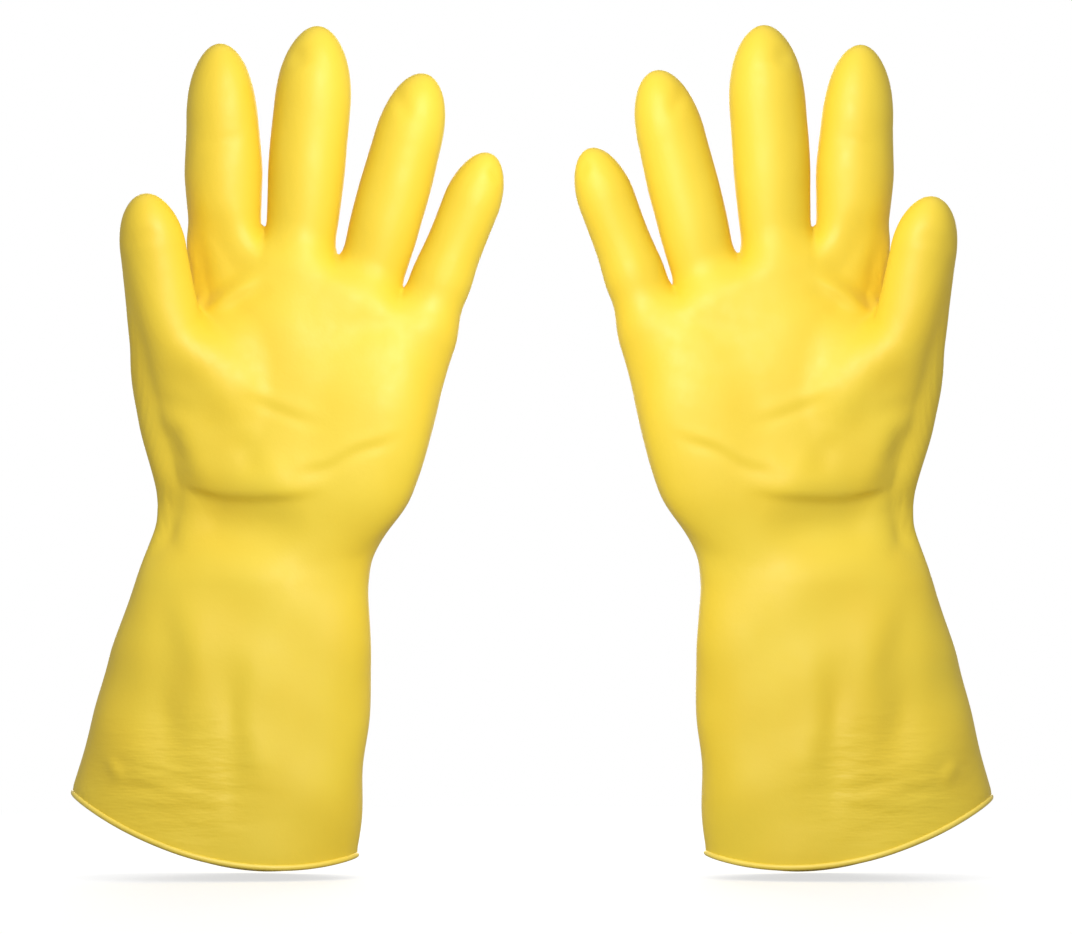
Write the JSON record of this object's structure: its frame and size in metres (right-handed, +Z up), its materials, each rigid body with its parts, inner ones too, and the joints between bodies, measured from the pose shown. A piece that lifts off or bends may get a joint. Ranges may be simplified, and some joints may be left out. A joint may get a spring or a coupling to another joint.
{
  "type": "household rubber gloves",
  "caption": "Pair of latex household gloves with flock lining and rolled cuff beads; wrists and fingers flex forwards.",
  "frame": {"origin": "centre of the pair's footprint, on the plane both cuff rims stand on", "axes": "+Z up towards the fingertips, -Y the way both palms face, +X from the left-hand glove to the right-hand glove"},
  "size_m": [0.3336, 0.0559, 0.3071],
  "materials": {
    "film": "satin yellow latex film",
    "bead": "rolled edge of the same latex film",
    "flock": "short cotton flock"
  },
  "bodies": {
    "left_cuff": {"left_cuff": "film", "left_cuff_lining": "flock", "left_cuff_bead": "bead"},
    "left_palm": {"left_palm": "film", "left_palm_lining": "flock"},
    "left_thumb_base": {"left_thumb_base": "film", "left_thumb_base_lining": "flock"},
    "left_thumb_tip": {"left_thumb_tip": "film", "left_thumb_tip_lining": "flock"},
    "left_index_base": {"left_index_base": "film", "left_index_base_lining": "flock"},
    "left_index_tip": {"left_index_tip": "film", "left_index_tip_lining": "flock"},
    "left_middle_base": {"left_middle_base": "film", "left_middle_base_lining": "flock"},
    "left_middle_tip": {"left_middle_tip": "film", "left_middle_tip_lining": "flock"},
    "left_ring_base": {"left_ring_base": "film", "left_ring_base_lining": "flock"},
    "left_ring_tip": {"left_ring_tip": "film", "left_ring_tip_lining": "flock"},
    "left_little_base": {"left_little_base": "film", "left_little_base_lining": "flock"},
    "left_little_tip": {"left_little_tip": "film", "left_little_tip_lining": "flock"},
    "right_cuff": {"right_cuff": "film", "right_cuff_lining": "flock", "right_cuff_bead": "bead"},
    "right_palm": {"right_palm": "film", "right_palm_lining": "flock"},
    "right_thumb_base": {"right_thumb_base": "film", "right_thumb_base_lining": "flock"},
    "right_thumb_tip": {"right_thumb_tip": "film", "right_thumb_tip_lining": "flock"},
    "right_index_base": {"right_index_base": "film", "right_index_base_lining": "flock"},
    "right_index_tip": {"right_index_tip": "film", "right_index_tip_lining": "flock"},
    "right_middle_base": {"right_middle_base": "film", "right_middle_base_lining": "flock"},
    "right_middle_tip": {"right_middle_tip": "film", "right_middle_tip_lining": "flock"},
    "right_ring_base": {"right_ring_base": "film", "right_ring_base_lining": "flock"},
    "right_ring_tip": {"right_ring_tip": "film", "right_ring_tip_lining": "flock"},
    "right_little_base": {"right_little_base": "film", "right_little_base_lining": "flock"},
    "right_little_tip": {"right_little_tip": "film", "right_little_tip_lining": "flock"}
  },
  "joints": [
    {"name": "left_wrist", "type": "hinge", "parent": "left_cuff", "child": "left_palm", "pos_m": [-0.09694, 0.0017, 0.11776], "axis": [1, 0, 0], "range_deg": [-35, 45], "stiffness_Nm_per_rad": 0.15},
    {"name": "left_thumb_root", "type": "hinge", "parent": "left_palm", "child": "left_thumb_base", "pos_m": [-0.13074, -0.0103, 0.19176], "axis": [0.9882, 0, 0.153], "range_deg": [0, 35], "stiffness_Nm_per_rad": 0.03},
    {"name": "left_thumb_middle", "type": "hinge", "parent": "left_thumb_base", "child": "left_thumb_tip", "pos_m": [-0.13493, -0.01435, 0.21884], "axis": [0.9882, 0, 0.153], "range_deg": [0, 50], "stiffness_Nm_per_rad": 0.02},
    {"name": "left_index_root", "type": "hinge", "parent": "left_palm", "child": "left_index_base", "pos_m": [-0.11094, 0.0017, 0.23976], "axis": [0.9996, 0, 0.0297], "range_deg": [0, 70], "stiffness_Nm_per_rad": 0.03},
    {"name": "left_index_middle", "type": "hinge", "parent": "left_index_base", "child": "left_index_tip", "pos_m": [-0.11181, 0.00016, 0.26921], "axis": [0.9996, 0, 0.0297], "range_deg": [0, 80], "stiffness_Nm_per_rad": 0.02},
    {"name": "left_middle_root", "type": "hinge", "parent": "left_palm", "child": "left_middle_base", "pos_m": [-0.08284, 0.0017, 0.23876], "axis": [0.9962, 0, -0.0872], "range_deg": [0, 70], "stiffness_Nm_per_rad": 0.03},
    {"name": "left_middle_middle", "type": "hinge", "parent": "left_middle_base", "child": "left_middle_tip", "pos_m": [-0.07997, -0.00003, 0.27159], "axis": [0.9962, 0, -0.0872], "range_deg": [0, 80], "stiffness_Nm_per_rad": 0.02},
    {"name": "left_ring_root", "type": "hinge", "parent": "left_palm", "child": "left_ring_base", "pos_m": [-0.05394, 0.0017, 0.23276], "axis": [0.9636, 0, -0.2672], "range_deg": [0, 70], "stiffness_Nm_per_rad": 0.03},
    {"name": "left_ring_middle", "type": "hinge", "parent": "left_ring_base", "child": "left_ring_tip", "pos_m": [-0.04633, 0.00021, 0.26019], "axis": [0.9636, 0, -0.2672], "range_deg": [0, 80], "stiffness_Nm_per_rad": 0.02},
    {"name": "left_little_root", "type": "hinge", "parent": "left_palm", "child": "left_little_base", "pos_m": [-0.03264, 0.0017, 0.21576], "axis": [0.9304, 0, -0.3665], "range_deg": [0, 70], "stiffness_Nm_per_rad": 0.03},
    {"name": "left_little_middle", "type": "hinge", "parent": "left_little_base", "child": "left_little_tip", "pos_m": [-0.02404, 0.00047, 0.2376], "axis": [0.9304, 0, -0.3665], "range_deg": [0, 80], "stiffness_Nm_per_rad": 0.02},
    {"name": "right_wrist", "type": "hinge", "parent": "right_cuff", "child": "right_palm", "pos_m": [0.09895, 0.0017, 0.1177], "axis": [0.9997, 0, -0.0227], "range_deg": [-35, 45], "stiffness_Nm_per_rad": 0.15},
    {"name": "right_thumb_root", "type": "hinge", "parent": "right_palm", "child": "right_thumb_base", "pos_m": [0.13442, -0.0103, 0.19092], "axis": [0.9845, 0, -0.1754], "range_deg": [0, 35], "stiffness_Nm_per_rad": 0.03},
    {"name": "right_thumb_middle", "type": "hinge", "parent": "right_thumb_base", "child": "right_thumb_tip", "pos_m": [0.13923, -0.01435, 0.2179], "axis": [0.9845, 0, -0.1754], "range_deg": [0, 50], "stiffness_Nm_per_rad": 0.02},
    {"name": "right_index_root", "type": "hinge", "parent": "right_palm", "child": "right_index_base", "pos_m": [0.11572, 0.0017, 0.23935], "axis": [0.9986, 0, -0.0523], "range_deg": [0, 70], "stiffness_Nm_per_rad": 0.03},
    {"name": "right_index_middle", "type": "hinge", "parent": "right_index_base", "child": "right_index_tip", "pos_m": [0.11726, 0.00016, 0.26877], "axis": [0.9986, 0, -0.0523], "range_deg": [0, 80], "stiffness_Nm_per_rad": 0.02},
    {"name": "right_middle_root", "type": "hinge", "parent": "right_palm", "child": "right_middle_base", "pos_m": [0.0876, 0.0017, 0.23899], "axis": [0.9979, 0, 0.0645], "range_deg": [0, 70], "stiffness_Nm_per_rad": 0.03},
    {"name": "right_middle_middle", "type": "hinge", "parent": "right_middle_base", "child": "right_middle_tip", "pos_m": [0.08547, -0.00003, 0.27188], "axis": [0.9979, 0, 0.0645], "range_deg": [0, 80], "stiffness_Nm_per_rad": 0.02},
    {"name": "right_ring_root", "type": "hinge", "parent": "right_palm", "child": "right_ring_base", "pos_m": [0.05857, 0.0017, 0.23365], "axis": [0.9694, 0, 0.2453], "range_deg": [0, 70], "stiffness_Nm_per_rad": 0.03},
    {"name": "right_ring_middle", "type": "hinge", "parent": "right_ring_base", "child": "right_ring_tip", "pos_m": [0.05159, 0.00021, 0.26124], "axis": [0.9694, 0, 0.2453], "range_deg": [0, 80], "stiffness_Nm_per_rad": 0.02},
    {"name": "right_little_root", "type": "hinge", "parent": "right_palm", "child": "right_little_base", "pos_m": [0.03689, 0.0017, 0.21714], "axis": [0.9385, 0, 0.3453], "range_deg": [0, 70], "stiffness_Nm_per_rad": 0.03},
    {"name": "right_little_middle", "type": "hinge", "parent": "right_little_base", "child": "right_little_tip", "pos_m": [0.02879, 0.00047, 0.23916], "axis": [0.9385, 0, 0.3453], "range_deg": [0, 80], "stiffness_Nm_per_rad": 0.02},
    {"name": "pair_apart", "type": "slide", "parent": "left_cuff", "child": "right_cuff", "axis": [1, 0, 0], "range_m": [0, 0.2]}
  ]
}
